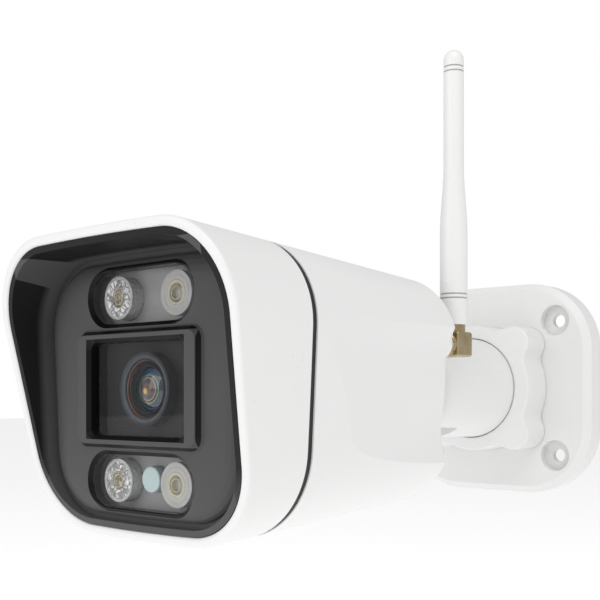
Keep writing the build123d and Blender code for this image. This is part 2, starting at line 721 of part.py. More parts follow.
# ======================================================================== windows
cover_front = PANEL_STATION - COVER_RECESS
cover_back = cover_front - COVER_THICKNESS
glass_front = PANEL_STATION - GLASS_RECESS

with BuildPart() as lens_window:
    with BuildSketch(station(glass_front - COVER_THICKNESS)):
        with Locations((0, LENS_Z)):
            RectangleRounded(*(length - 2 * RUNNING_GAP for length in FRAME_OPENING), OPENING_CORNER)
    extrude(amount=COVER_THICKNESS)
save(lens_window, "lens_window")

for side, name in ((1, "upper_light_window"), (-1, "lower_light_window")):
    with BuildPart() as light_window:
        with BuildSketch(station(cover_back)):
            window_slot(side, RUNNING_GAP)
        extrude(amount=COVER_THICKNESS)
    save(light_window, name)

# ======================================================================== lights
board_front = LED_BOARD_STATION + BOARD
emitter_front = board_front + EMITTER_HEIGHT
holder_front = HOLDER_STATION + HOLDER_THICKNESS

for side, name in ((1, "upper"), (-1, "lower")):
    height = LENS_Z + side * WINDOW_RISE
    with BuildPart() as light_board:
        plate(LED_BOARD_STATION, board_front, *LED_BOARD, z=height)
    save(light_board, f"{name}_light_board")

    with BuildPart() as light_holder:
        with BuildSketch(station(HOLDER_STATION)):
            with Locations((0, height)):
                RectangleRounded(*HOLDER, HOLDER[1] / 2 - 1)
            with Locations(*led_spots(side)):
                Circle(LED_LENS_RADIUS + SLIP_GAP, mode=Mode.SUBTRACT)
            if side < 0:
                with Locations(pipe_place):
                    Circle(PIPE_RADIUS + SLIP_GAP, mode=Mode.SUBTRACT)
        extrude(amount=HOLDER_THICKNESS)
        with BuildSketch(station(board_front)):
            with Locations((0, height)):
                with GridLocations(*(length - 2 * HOLDER_LEG_INSET for length in LED_BOARD), 2, 2):
                    Circle(HOLDER_LEG)
        extrude(amount=HOLDER_STATION - board_front)
    save(light_holder, f"{name}_light_holder")

with BuildPart() as light_emitters:
    with BuildSketch(station(board_front)):
        with Locations(*led_places):
            Rectangle(EMITTER, EMITTER)
    extrude(amount=EMITTER_HEIGHT)
save(light_emitters, "light_emitters")

# Each collimator is a cup-shaped clear lens over its emitter, with a well in its front face.
well_bottom = LED_LENS_FRONT - LED_WELL_DEPTH
with BuildPart() as light_lenses:
    for x, z in led_places:
        turned([(emitter_front, 0), (emitter_front, LED_CUP_BASE), (HOLDER_STATION, LED_CUP_WAIST),
                (holder_front, LED_LENS_RADIUS), (LED_LENS_FRONT, LED_LENS_RADIUS),
                (LED_LENS_FRONT, LED_WELL_RADIUS), (well_bottom, LED_WELL_BOTTOM), (well_bottom, 0)], x, z)
save(light_lenses, "light_lenses")

with BuildPart() as light_pipe:
    disc(board_front + SENSOR_CHIP_HEIGHT, PIPE_FRONT, PIPE_RADIUS, *pipe_place)
    fillet(light_pipe.faces().sort_by(Axis.Y)[0].edges(), PIPE_ROUND)
save(light_pipe, "light_pipe")

with BuildPart() as light_sensor:
    plate(board_front, board_front + SENSOR_CHIP_HEIGHT, *SENSOR_CHIP, *pipe_place)
save(light_sensor, "light_sensor")

# ======================================================================== microphone
mic_place = (MIC_SPOT[0], LENS_Z + MIC_SPOT[1])

boot_back = panel_rear - MIC_BOOT_LENGTH
boot_floor = panel_rear - MIC_BOOT_FLOOR

with BuildPart() as mic_boot:
    disc(boot_back, panel_rear, MIC_BOOT_RADIUS, *mic_place)
    disc(boot_back, boot_floor, MIC_RADIUS + RUNNING_GAP, *mic_place, mode=Mode.SUBTRACT)
    disc(boot_floor, panel_rear, MIC_HOLE, *mic_place, mode=Mode.SUBTRACT)
save(mic_boot, "mic_boot")

with BuildPart() as microphone:
    disc(boot_back, boot_floor - SLIP_GAP, MIC_RADIUS, *mic_place)
save(microphone, "microphone")

# ======================================================================== lens
sensor_face = SENSOR_BOARD_STATION + BOARD
holder_plate = sensor_face + FILTER_CASE
thread_end = holder_plate + THREAD_START
mask_front = MASK_STATION + MASK_THICKNESS

with BuildPart() as lens_mask:
    plate(MASK_STATION, mask_front, *(length + MASK_MARGIN for length in FRAME_OPENING), z=LENS_Z)
    disc(MASK_STATION, mask_front, LENS_HOOD_RADIUS + SLIP_GAP, z=LENS_Z, mode=Mode.SUBTRACT)
save(lens_mask, "lens_mask")

with BuildPart() as lens_barrel:
    turned([(thread_end, LENS_CLEAR_RADIUS), (thread_end, LENS_THREAD_RADIUS),
            (LENS_NECK_STATION, LENS_THREAD_RADIUS), (LENS_NECK_STATION, LENS_NECK_RADIUS),
            (LENS_FLARE[0], LENS_NECK_RADIUS), (LENS_FLARE[1], LENS_HOOD_RADIUS),
            (LENS_FRONT, LENS_HOOD_RADIUS), (LENS_FRONT, LENS_LIP_RADIUS),
            (LENS_FRONT - LENS_CONE_DEPTH, LENS_CONE_RADIUS),
            (LENS_FRONT - LENS_BORE_DEPTH, LENS_BORE), (LENS_FRONT - LENS_SEAT_DEPTH, LENS_BORE),
            (LENS_FRONT - LENS_SEAT_DEPTH, LENS_CLEAR_RADIUS)], z=LENS_Z)
save(lens_barrel, "lens_barrel")

glass_edge = LENS_FRONT - DOME_SET_BACK
glass_back = glass_edge - ELEMENT_THICKNESS
element_radius = LENS_BORE - SLIP_GAP
dome_curve = (DOME_RADIUS ** 2 + DOME_RISE ** 2) / (2 * DOME_RISE)
dome_half_rise = (dome_curve ** 2 - DOME_RADIUS ** 2 / 4) ** 0.5 - dome_curve + DOME_RISE

with BuildPart() as front_element:
    with BuildSketch(Plane(origin=(0, 0, LENS_Z), x_dir=(0, -1, 0), z_dir=(-1, 0, 0))):
        with BuildLine():
            Polyline((glass_edge + DOME_RISE, 0), (glass_back, 0), (glass_back, element_radius),
                     (glass_edge, element_radius), (glass_edge, DOME_RADIUS))
            ThreePointArc((glass_edge, DOME_RADIUS), (glass_edge + dome_half_rise, DOME_RADIUS / 2),
                          (glass_edge + DOME_RISE, 0))
        make_face()
    revolve(axis=Axis((0, 0, LENS_Z), (0, 1, 0)))
save(front_element, "front_element")

with BuildPart() as rear_elements:
    for start, thickness in REAR_ELEMENTS:
        disc(start, start + thickness, LENS_CLEAR_RADIUS - RUNNING_GAP, z=LENS_Z)
save(rear_elements, "rear_elements")

lens_nut_front = LENS_NUT_STATION + LENS_NUT_THICKNESS
with BuildPart() as lens_nut:
    disc(LENS_NUT_STATION, lens_nut_front, LENS_NUT_RADIUS, z=LENS_Z)
    with BuildSketch(station(LENS_NUT_STATION)):
        with Locations((0, LENS_Z)):
            with PolarLocations(LENS_NUT_RADIUS + LENS_NUT_GRIP_RADIUS / 2, LENS_NUT_GRIPS):
                Circle(LENS_NUT_GRIP_RADIUS)
    extrude(amount=LENS_NUT_THICKNESS, mode=Mode.SUBTRACT)
    disc(LENS_NUT_STATION, lens_nut_front, LENS_THREAD_RADIUS, z=LENS_Z, mode=Mode.SUBTRACT)
save(lens_nut, "lens_nut")

# The holder is a tube on a flat box. The box's channel lets the filter shuttle slide across the light path.
channel_width = FILTER_PANE * 2 + CHANNEL_SPARE[0] + FILTER_TRAVEL
channel_height = FILTER_PANE + CHANNEL_SPARE[1]
channel_back = sensor_face + CHANNEL_RISE
channel_front = channel_back + SHUTTLE_THICKNESS + 2 * SLIP_GAP

with BuildPart() as lens_holder:
    plate(sensor_face, holder_plate, channel_width + CASE_MARGIN[0], channel_height + CASE_MARGIN[1],
          z=LENS_Z)
    disc(holder_plate, HOLDER_TUBE_END, HOLDER_TUBE_RADIUS, z=LENS_Z)
    disc(channel_front, HOLDER_TUBE_END, LENS_THREAD_RADIUS, z=LENS_Z, mode=Mode.SUBTRACT)
    plate(channel_back, channel_front, channel_width, channel_height + 2 * SLIP_GAP, z=LENS_Z,
          mode=Mode.SUBTRACT)
    plate(sensor_face, channel_back, *SENSOR_WELL, z=LENS_Z, mode=Mode.SUBTRACT)
save(lens_holder, "lens_holder")

pane_pitch = FILTER_PANE + FILTER_BAR
pane_opening = FILTER_PANE - 2 * (FILTER_BAR - SLIP_GAP)
shuttle_x = -FILTER_TRAVEL / 2
shuttle_back = channel_back + SLIP_GAP
pane_thickness = SHUTTLE_THICKNESS / 2
pane_back = shuttle_back + (SHUTTLE_THICKNESS - pane_thickness) / 2


def pane_windows(start, depth, mode=Mode.ADD):
    """The two square panes, or the openings that hold them."""
    with BuildSketch(station(start)) as panes:
        with Locations((shuttle_x, LENS_Z)):
            with GridLocations(pane_pitch, 1, 2, 1):
                Rectangle(pane_opening, pane_opening)
    extrude(panes.sketch, amount=depth, mode=mode)


with BuildPart() as filter_shuttle:
    plate(shuttle_back, shuttle_back + SHUTTLE_THICKNESS, 2 * (pane_pitch + FILTER_BAR), channel_height,
          x=shuttle_x, z=LENS_Z)
    pane_windows(shuttle_back, SHUTTLE_THICKNESS, Mode.SUBTRACT)
save(filter_shuttle, "filter_shuttle")

with BuildPart() as filter_panes:
    pane_windows(pane_back, pane_thickness)
save(filter_panes, "filter_panes")

with BuildPart() as filter_coil:
    plate(holder_plate, holder_plate + COIL[2], COIL[0], COIL[1], x=channel_width / 2 - COIL_OVERLAP,
          z=LENS_Z)
save(filter_coil, "filter_coil")

# ======================================================================== boards
with BuildPart() as image_sensor:
    plate(sensor_face, sensor_face + IMAGE_SENSOR[2], IMAGE_SENSOR[0], IMAGE_SENSOR[1], z=LENS_Z)
save(image_sensor, "image_sensor")


def at_posts(start, depth, radius, mode=Mode.ADD):
    """A round bar or hole at each of the four board posts."""
    with BuildSketch(station(start)) as spots:
        with Locations(*post_places):
            Circle(radius)
    extrude(spots.sketch, amount=depth, mode=mode)


for name, start in (("sensor_board", SENSOR_BOARD_STATION), ("main_board", MAIN_BOARD_STATION)):
    with BuildPart() as circuit_board:
        plate(start, start + BOARD, 2 * (post_x + BOARD_RIM), 2 * (POST_Z + BOARD_SHOULDER), z=LENS_Z)
        at_posts(start, BOARD, BOARD_SCREW_RADIUS, Mode.SUBTRACT)
    save(circuit_board, name)

main_face = MAIN_BOARD_STATION + BOARD
with BuildPart() as standoffs:
    with BuildSketch(station(main_face)):
        with Locations(*post_places):
            RegularPolygon(POST_RADIUS, 6)
            Circle(BOARD_SCREW_RADIUS, mode=Mode.SUBTRACT)
    extrude(amount=SENSOR_BOARD_STATION - main_face)
save(standoffs, "standoffs")

with BuildPart() as board_screws:
    at_posts(MAIN_BOARD_STATION - BOARD_SCREW_HEAD, BOARD_SCREW_HEAD, 2 * BOARD_SCREW_RADIUS)
    at_posts(MAIN_BOARD_STATION, BOARD_SCREW_LENGTH, BOARD_SCREW_RADIUS)
save(board_screws, "board_screws")

sink_back = main_face + HEAT_SINK_LIFT
sink_base = sink_back + HEAT_SINK_BASE
with BuildPart() as heat_sink:
    plate(sink_back, sink_base, *HEAT_SINK, z=LENS_Z)
    with BuildSketch(station(sink_base)):
        with Locations((0, LENS_Z)):
            with GridLocations(FIN_PITCH, 1, FIN_COUNT, 1):
                Rectangle(FIN_WIDTH, HEAT_SINK[1])
    extrude(amount=FIN_HEIGHT)
save(heat_sink, "heat_sink")

with BuildPart() as processor:
    plate(main_face, sink_back - PAD_THICKNESS, PROCESSOR, PROCESSOR, z=LENS_Z)
save(processor, "processor")

with BuildPart() as thermal_pad:
    plate(sink_back - PAD_THICKNESS, sink_back, PAD, PAD, z=LENS_Z)
save(thermal_pad, "thermal_pad")

with BuildPart() as radio_module:
    plate(MAIN_BOARD_STATION - RADIO[2], MAIN_BOARD_STATION, RADIO[0], RADIO[1], x=RADIO_SPOT[0],
          z=LENS_Z + RADIO_SPOT[1])
save(radio_module, "radio_module")

with BuildPart() as board_connectors:
    for across, up, width in CONNECTORS:
        plate(MAIN_BOARD_STATION - CONNECTOR_DEPTH, MAIN_BOARD_STATION, width, CONNECTOR_HEIGHT, x=across,
              z=LENS_Z + up)
save(board_connectors, "board_connectors")

# ======================================================================== cable gland
gland_tip = REAR_STATION - GLAND_PROUD
gland_end = inner_wall + GLAND_SHOULDER
with BuildPart() as cable_gland:
    turned([(gland_tip, GLAND_TIP_RADIUS), (REAR_STATION - GLAND_SHOULDER, GLAND_RADIUS),
            (REAR_STATION, GLAND_RADIUS), (REAR_STATION, GLAND_NECK), (inner_wall, GLAND_NECK),
            (inner_wall, GLAND_NECK + GLAND_LATCH), (gland_end, GLAND_NECK + GLAND_LATCH_END),
            (gland_end, GLAND_BORE), (gland_tip, GLAND_BORE)], z=GLAND_Z)
save(cable_gland, "cable_gland")

# ======================================================================== antenna jack
elbow_near = ANTENNA_STATION + ELBOW_WIDTH / 2
jack_nut_back = jack_face - JACK_NUT_THICKNESS
jack_end = jack_seat + JACK_FLANGE_THICKNESS
core_end = jack_face - JACK_CORE_LENGTH
coupling_back = elbow_near + FIT_GAP

with BuildPart() as antenna_jack:
    turned([(coupling_back, JACK_BORE), (coupling_back, JACK_CORE), (core_end, JACK_CORE),
            (core_end, JACK_RADIUS), (jack_seat, JACK_RADIUS), (jack_seat, JACK_FLANGE),
            (jack_end, JACK_FLANGE), (jack_end, JACK_BORE)], ANTENNA_X, JACK_Z)
save(antenna_jack, "antenna_jack")

with BuildPart() as jack_nut:
    with BuildSketch(station(jack_nut_back)):
        with Locations((ANTENNA_X, JACK_Z)):
            RegularPolygon(JACK_NUT, 6)
            Circle(JACK_RADIUS, mode=Mode.SUBTRACT)
    extrude(amount=JACK_NUT_THICKNESS)
save(jack_nut, "jack_nut")

with BuildPart() as antenna_coupling:
    disc(coupling_back, jack_nut_back - COUPLING_GAP, COUPLING_RADIUS, ANTENNA_X, JACK_Z)
    chamfer(antenna_coupling.faces().filter_by(Axis.Y).edges(), COUPLING_EDGE)
    disc(coupling_back, jack_face, JACK_RADIUS, ANTENNA_X, JACK_Z, mode=Mode.SUBTRACT)
save(antenna_coupling, "antenna_coupling")

# ======================================================================== antenna
mast = (ANTENNA_X, -ANTENNA_STATION)
radiator_top = SLEEVE_TIP - RADIATOR_END
elbow_top = JACK_Z + ELBOW_HEIGHT / 2

with BuildPart() as antenna_elbow:
    with BuildSketch(Plane.XY.offset(JACK_Z - ELBOW_HEIGHT / 2)):
        with Locations(mast):
            Rectangle(ELBOW_WIDTH, ELBOW_WIDTH)
    extrude(amount=ELBOW_HEIGHT)
    chamfer(antenna_elbow.edges(), ELBOW_EDGE)
    with BuildSketch(Plane.XY.offset(JACK_Z)):
        with Locations(mast):
            Circle(RADIATOR_RADIUS)
    extrude(amount=ELBOW_HEIGHT / 2, mode=Mode.SUBTRACT)
save(antenna_elbow, "antenna_elbow")

with BuildPart() as antenna_neck:
    with BuildSketch(Plane.XY.offset(elbow_top)):
        with Locations(mast):
            Circle(NECK_RADIUS)
            Circle(RADIATOR_RADIUS, mode=Mode.SUBTRACT)
    extrude(amount=SLEEVE_BOTTOM - elbow_top)
    with BuildSketch(Plane.XY.offset(SLEEVE_BOTTOM)):
        with Locations(mast):
            Circle(STEM_RADIUS)
            Circle(RADIATOR_RADIUS, mode=Mode.SUBTRACT)
    extrude(amount=STEM_LENGTH)
save(antenna_neck, "antenna_neck")

with BuildPart() as antenna_sleeve:
    with BuildSketch(Plane(origin=(*mast, 0), x_dir=(1, 0, 0), z_dir=(0, -1, 0))):
        with BuildLine():
            Line((0, SLEEVE_BOTTOM), (SLEEVE_RADIUS, SLEEVE_BOTTOM))
            Line((SLEEVE_RADIUS, SLEEVE_BOTTOM), (SLEEVE_RADIUS, TAPER_LOW))
            Spline((SLEEVE_RADIUS, TAPER_LOW), (WHIP_RADIUS, TAPER_HIGH), tangents=((0, 1), (0, 1)))
            Line((WHIP_RADIUS, TAPER_HIGH), (WHIP_RADIUS, SLEEVE_TIP - WHIP_RADIUS))
            RadiusArc((WHIP_RADIUS, SLEEVE_TIP - WHIP_RADIUS), (0, SLEEVE_TIP), -WHIP_RADIUS)
            Line((0, SLEEVE_TIP), (0, SLEEVE_BOTTOM))
        make_face()
    revolve(axis=Axis((*mast, 0), (0, 0, 1)))
    for level in BANDS:
        outer = SLEEVE_RADIUS if level < TAPER_LOW else WHIP_RADIUS
        with BuildSketch(Plane.XY.offset(level)):
            with Locations(mast):
                Circle(outer + 1)
                Circle(outer - BAND_DEPTH, mode=Mode.SUBTRACT)
        extrude(amount=BAND_WIDTH, mode=Mode.SUBTRACT)
    with BuildSketch(Plane.XY.offset(SLEEVE_BOTTOM)):
        with Locations(mast):
            Circle(STEM_RADIUS)
    extrude(amount=STEM_LENGTH, mode=Mode.SUBTRACT)
    with BuildSketch(Plane.XY.offset(SLEEVE_BOTTOM)):
        with Locations(mast):
            Circle(RADIATOR_RADIUS)
    extrude(amount=radiator_top + FIT_GAP - SLEEVE_BOTTOM, mode=Mode.SUBTRACT)
save(antenna_sleeve, "antenna_sleeve")

with BuildPart() as antenna_bands:
    for level in BANDS:
        outer = SLEEVE_RADIUS if level < TAPER_LOW else WHIP_RADIUS
        with BuildSketch(Plane.XY.offset(level)):
            with Locations(mast):
                Circle(outer - BAND_DEPTH / 2)
                Circle(outer - BAND_DEPTH, mode=Mode.SUBTRACT)
        extrude(amount=BAND_WIDTH)
save(antenna_bands, "antenna_bands")

with BuildPart() as antenna_radiator:
    with BuildSketch(Plane.XY.offset(JACK_Z)):
        with Locations(mast):
            Circle(RADIATOR_RADIUS)
    extrude(amount=radiator_top - JACK_Z)
save(antenna_radiator, "antenna_radiator")
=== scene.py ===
"""Looks of a bullet security camera on its wall bracket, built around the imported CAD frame."""

import math

import bmesh
import bpy
from mathutils import Matrix, Vector


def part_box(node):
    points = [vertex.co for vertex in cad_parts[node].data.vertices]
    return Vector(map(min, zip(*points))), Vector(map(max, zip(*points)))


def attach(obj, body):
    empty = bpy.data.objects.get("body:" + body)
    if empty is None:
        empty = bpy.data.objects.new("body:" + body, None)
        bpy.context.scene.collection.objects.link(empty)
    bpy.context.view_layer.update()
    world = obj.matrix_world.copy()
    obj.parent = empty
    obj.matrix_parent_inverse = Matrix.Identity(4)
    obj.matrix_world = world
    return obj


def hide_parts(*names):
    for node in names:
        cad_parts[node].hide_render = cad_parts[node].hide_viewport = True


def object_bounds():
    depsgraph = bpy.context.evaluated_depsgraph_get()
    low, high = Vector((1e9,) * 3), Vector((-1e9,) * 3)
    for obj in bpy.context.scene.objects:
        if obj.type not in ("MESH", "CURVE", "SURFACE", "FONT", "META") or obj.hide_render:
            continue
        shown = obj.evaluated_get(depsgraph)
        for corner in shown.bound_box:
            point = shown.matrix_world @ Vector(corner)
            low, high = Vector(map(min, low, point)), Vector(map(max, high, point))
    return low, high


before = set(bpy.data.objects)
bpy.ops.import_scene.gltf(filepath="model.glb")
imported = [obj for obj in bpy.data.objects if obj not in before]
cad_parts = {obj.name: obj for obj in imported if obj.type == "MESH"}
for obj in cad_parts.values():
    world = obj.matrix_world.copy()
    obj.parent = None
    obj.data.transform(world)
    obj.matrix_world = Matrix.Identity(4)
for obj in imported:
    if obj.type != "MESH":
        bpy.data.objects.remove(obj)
cad_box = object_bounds()

# ---------------------------------------------------------------- places taken from the frame
MM = 0.001


def middle(node):
    low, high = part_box(node)
    return (low + high) / 2


LENS = Vector((middle("lens_barrel").x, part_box("lens_barrel")[0].y, middle("lens_barrel").z))
WINDOW_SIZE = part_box("upper_light_window")[1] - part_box("upper_light_window")[0]
COVER_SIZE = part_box("lens_window")[1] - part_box("lens_window")[0]
LAMP_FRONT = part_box("light_lenses")[0].y
EMITTER_HALF = 1.7 * MM
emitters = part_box("light_emitters")
LAMP_X = (emitters[0].x + EMITTER_HALF, emitters[1].x - EMITTER_HALF)
LAMP_Z = (emitters[0].z + EMITTER_HALF, emitters[1].z - EMITTER_HALF)
JACK = middle("antenna_coupling")
GLAND = middle("cable_gland")

# The lens glass: radii of its pupil, dark stop and coloured rings, the offset and size of its painted
# glint, and the reach of its painted coating reflection.
PUPIL = 1.5 * MM
STOP = 2.3 * MM
ORANGE_RING = (2.65 * MM, 2.8 * MM)
GREEN_RING = (3.35 * MM, 3.55 * MM)
BLUE_RING = (4.5 * MM, 5.0 * MM)
GLINT_SHIFT = 0.5 * MM
GLINT = (0.95 * MM, 0.35 * MM)
REFLECTION_REACH = 3.5 * MM

# The lens barrel: its blue-grey mouth, its dark cone and the cone's thin rings.
MOUTH = (8.6 * MM, 7.9 * MM)
CONE = (7.5 * MM, 7.3 * MM)
CONE_TEAL = (6.25 * MM, 6.4 * MM)
CONE_ORANGE = (6.85 * MM, 7.0 * MM)
TURNING_PITCH = 0.34 * MM

# Pieces added to the frame.
SEAL_GROWTH = 1.0135
TRAP_COUNT = 3
TRAP_RADIUS = 5.62
TRAP_STEP = 0.08
TRAP_DEPTH = 2.25
TRAP_PITCH = 0.6
TRAP_WIDTH = 0.26 * MM
TRAP_BACK = 0.24 * MM
TRAP_FRONT = 0.16 * MM
LAMP_RINGS = (1.5, 2.9, 4.2)
LAMP_RING_INSIDE = 0.16
LAMP_RING_OUTSIDE = 0.3
LAMP_RING_BACK = 0.1 * MM
LAMP_RING_PROUD = 0.13 * MM
GLAND_RIBS = 24
GLAND_RIB = (0.4 * MM, 1.2 * MM, 0.5 * MM)
GLAND_RIB_BEHIND = 1.0 * MM
GLAND_RIB_EDGE = 0.1 * MM
KNURL_RIDGES = 36
KNURL_WIDTH = 0.34 * MM
KNURL_SHARE = 0.6
KNURL_HEIGHT = 0.3 * MM
KNURL_SINK = 0.03 * MM
KNURL_EDGE = 0.06 * MM

# The front panel's painted shade: black on the lens frame's sloping sides and in the bevels round the lens
# window and light windows, and darker up its outer walls, measured past half the lens window or light
# window.
FRAME_BAND = (4.5 * MM, 2.1 * MM)
FRAME_BASE = (6.2 * MM, 3.7 * MM)
BEVEL_REACH = 0.98 * MM
PANEL_PLANE = LENS.y - 1.8 * MM
PROUD = 0.5 * MM
WALL_START = LENS.y - 2.2 * MM
WALL_END = LENS.y - 4.5 * MM
WALL_Z = 1.42


# ---------------------------------------------------------------- shader maths
class Wire:
    """A node socket that can be used in Python expressions; each operator adds a Math node."""

    def __init__(self, finish, socket):
        self.finish = finish
        self.socket = socket

    def math(self, operation, *values):
        return self.finish.node("ShaderNodeMath", {"operation": operation}, *values)

    def __add__(self, other):
        return self.math("ADD", self, other)

    def __radd__(self, other):
        return self.math("ADD", other, self)

    def __sub__(self, other):
        return self.math("SUBTRACT", self, other)

    def __rsub__(self, other):
        return self.math("SUBTRACT", other, self)

    def __mul__(self, other):
        return self.math("MULTIPLY", self, other)

    def __rmul__(self, other):
        return self.math("MULTIPLY", other, self)

    def __gt__(self, other):
        return self.math("GREATER_THAN", self, other)

    def __lt__(self, other):
        return self.math("LESS_THAN", self, other)

    def __abs__(self):
        return self.math("ABSOLUTE", self)

    def largest(self, other):
        return self.math("MAXIMUM", self, other)

    def root(self):
        return self.math("SQRT", self)

    def wave(self, length):
        """Ripple between -1 and 1 that repeats each time the value grows by a length."""
        return self.math("SINE", self * (2 * math.pi / length))

    def between(self, low, high):
        return (self > low) * (self < high)


class Finish:
    """A material under construction: one Principled shader and the nodes that feed it."""

    def __init__(self, name, color=(0.8, 0.8, 0.8), **constants):
        self.material = bpy.data.materials.new(name)
        self.material.use_nodes = True
        self.tree = self.material.node_tree
        self.shader = self.tree.nodes["Principled BSDF"]
        self.shader.inputs["Base Color"].default_value = (*color, 1.0)
        for key, value in constants.items():
            self.shader.inputs[key.replace("_", " ").title()].default_value = value

    def node(self, kind, settings, *values, out=0, **named):
        """Adds a node: its settings first, then values or links for its sockets in order or by name."""
        made = self.tree.nodes.new(kind)
        for key, value in settings.items():
            setattr(made, key, value)
        for key, value in list(enumerate(values)) + list(named.items()):
            if isinstance(value, Wire):
                self.tree.links.new(value.socket, made.inputs[key])
            elif value is not None:
                made.inputs[key].default_value = value
        return Wire(self, made.outputs[out])

    def feed(self, key, wire):
        self.tree.links.new(wire.socket, self.shader.inputs[key])

    def place(self, stretch=None):
        """Point on the object, in metres, with each axis scaled where a stretch is given."""
        point = self.node("ShaderNodeTexCoord", {}, out="Object")
        if stretch is None:
            return point
        return self.node("ShaderNodeVectorMath", {"operation": "MULTIPLY"}, point, stretch)

    def axes(self):
        """The point's x, y and z."""
        split = self.node("ShaderNodeSeparateXYZ", {}, self.place())
        return [Wire(self, split.socket.node.outputs[i]) for i in range(3)]

    def radius(self, x, z):
        """Distance from a line along Y through (x, z)."""
        across, _, up = self.axes()
        across, up = across - x, up - z
        return (across * across + up * up).root()

    def noise(self, scale, detail=3.0, where=None):
        point = where or self.place()
        return self.node("ShaderNodeTexNoise", {}, Vector=point, Scale=scale, Detail=detail)

    def cells(self, scale, feature="F1", where=None):
        point = where or self.place()
        return self.node("ShaderNodeTexVoronoi", {"feature": feature}, Vector=point, Scale=scale)

    def ramp(self, value, low, high):
        """Runs from 0 to 1 as a value goes from low to high, and stays at 0 or 1 beyond them."""
        return self.node("ShaderNodeMapRange", {}, value, low, high)

    def mix(self, factor, first, second):
        """Colour between two colours."""
        colors = [value if isinstance(value, Wire) else (*value, 1.0) for value in (first, second)]
        made = self.node("ShaderNodeMix", {"data_type": "RGBA"}, factor, out=2)
        for socket, value in zip((6, 7), colors):
            target = made.socket.node.inputs[socket]
            if isinstance(value, Wire):
                self.tree.links.new(value.socket, target)
            else:
                target.default_value = value
        return made

    def bump(self, height, distance, strength=1.0):
        made = self.node("ShaderNodeBump", {}, Strength=strength, Distance=distance, Height=height)
        self.feed("Normal", made)

    def on(self, *names):
        for name in names:
            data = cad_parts[name].data
            data.materials.clear()
            data.materials.append(self.material)
        return self


# ---------------------------------------------------------------- plastics
def moulded(name, color, dark, roughness, grain, speck=0.0):
    """Matt moulded plastic: a spark-eroded grain, a faint drift of tone and a few specks of dust."""
    made = Finish(name, color, roughness=roughness)
    tone = made.mix(made.noise(30.0), color, dark)
    dust = (made.cells(420.0) < 0.09) * made.ramp(made.noise(60.0), 0.5, 0.62) * speck
    made.feed("Base Color", made.mix(dust, tone, tuple(c * 0.72 for c in color)))
    made.feed("Roughness", made.noise(700.0) * 0.12 + made.noise(25.0) * 0.08 + (roughness - 0.1))
    made.bump(made.noise(2400.0, 2.0) + made.noise(900.0) * 0.4, grain)
    return made


def body_white():
    return moulded("shell_white", (0.82, 0.82, 0.815), (0.795, 0.795, 0.79), 0.40, 0.00004, 0.5)


def bracket_white():
    return moulded("bracket_white", (0.79, 0.79, 0.785), (0.76, 0.76, 0.755), 0.46, 0.00006, 0.6)


def antenna_white():
    """Slightly glossier plastic, with a thin coat of shine."""
    made = moulded("antenna_white", (0.82, 0.82, 0.815), (0.79, 0.79, 0.785), 0.34, 0.00002, 0.4)
    made.shader.inputs["Coat Weight"].default_value = 0.05
    return made


def panel_dark():
    """Dark face: matt grey plastic with painted shade, black on the lens frame's sloping sides and in the
    bevels round the lens window and light windows, and darker up its outer walls.
    """
    grey = (0.088, 0.088, 0.09)
    made = Finish("panel_dark", grey, roughness=0.42)
    made.shader.inputs["Specular IOR Level"].default_value = 0.16
    across, out, up = made.axes()
    tone = made.mix(made.noise(45.0), grey, (0.072, 0.072, 0.075))
    lens_x = abs(across - LENS.x)
    lens_z = abs(up - LENS.z)
    proud = (out - PANEL_PLANE) < -PROUD
    band_x, band_z = FRAME_BAND
    base_x, base_z = FRAME_BASE
    # Painted shade: black on the lens frame's sloping sides, where they stand proud of the panel.
    frame_shade = (lens_x > COVER_SIZE.x / 2 + band_x).largest(lens_z > COVER_SIZE.z / 2 + band_z)
    inside = (lens_x < COVER_SIZE.x / 2 + base_x) * (lens_z < COVER_SIZE.z / 2 + base_z)
    frame_shade = frame_shade * inside * proud
    straight = (WINDOW_SIZE.x - WINDOW_SIZE.z) / 2
    window_z = abs(lens_z - (middle("upper_light_window").z - LENS.z))
    past = (lens_x - straight).largest(0.0)
    slot = (past * past + window_z * window_z).root()
    # Painted shade: black in the bevels round the light windows and round the lens window.
    bevel = slot < WINDOW_SIZE.z / 2 + BEVEL_REACH
    opening_shade = (lens_x < COVER_SIZE.x / 2 + BEVEL_REACH) * (lens_z < COVER_SIZE.z / 2 + BEVEL_REACH)
    black = frame_shade.largest(bevel).largest(opening_shade)
    # Painted shade: the outer walls in front of the panel get darker towards the front, down to near-black.
    around = (lens_x > COVER_SIZE.x).largest(lens_z > COVER_SIZE.z * WALL_Z)
    wall = made.ramp(out, WALL_START, WALL_END) * around
    shaded = made.mix(wall, tone, (0.012, 0.012, 0.013))
    # The painted shade is laid on as near-black over the grey.
    made.feed("Base Color", made.mix(black, shaded, (0.004, 0.004, 0.0045)))
    made.feed("Roughness", made.noise(800.0) * 0.12 + 0.36 - black * 0.1)
    made.bump(made.noise(2600.0, 2.0), 0.00003)
    return made


def rubber():
    """Soft black rubber: bloom in patches and a dull fine surface."""
    made = Finish("seal_dark", (0.012, 0.011, 0.011), roughness=0.62)
    bloom = made.ramp(made.noise(110.0, 5.0), 0.45, 0.7)
    made.feed("Base Color", made.mix(bloom, (0.01, 0.009, 0.009), (0.024, 0.022, 0.023)))
    made.feed("Roughness", bloom * 0.2 + 0.52)
    made.bump(made.noise(1800.0, 3.0), 0.00006)
    return made


def holder_grey():
    """Grey reflector plastic, smoother, with flow marks that run across it."""
    made = Finish("holder_grey", (0.34, 0.34, 0.34), roughness=0.32)
    flow = made.noise(1.0, 3.0, made.place((40.0, 300.0, 420.0)))
    made.feed("Base Color", made.mix(flow, (0.37, 0.37, 0.37), (0.3, 0.3, 0.302)))
    made.feed("Roughness", flow * 0.18 + 0.26)
    made.bump(made.noise(2200.0), 0.00002)
    return made


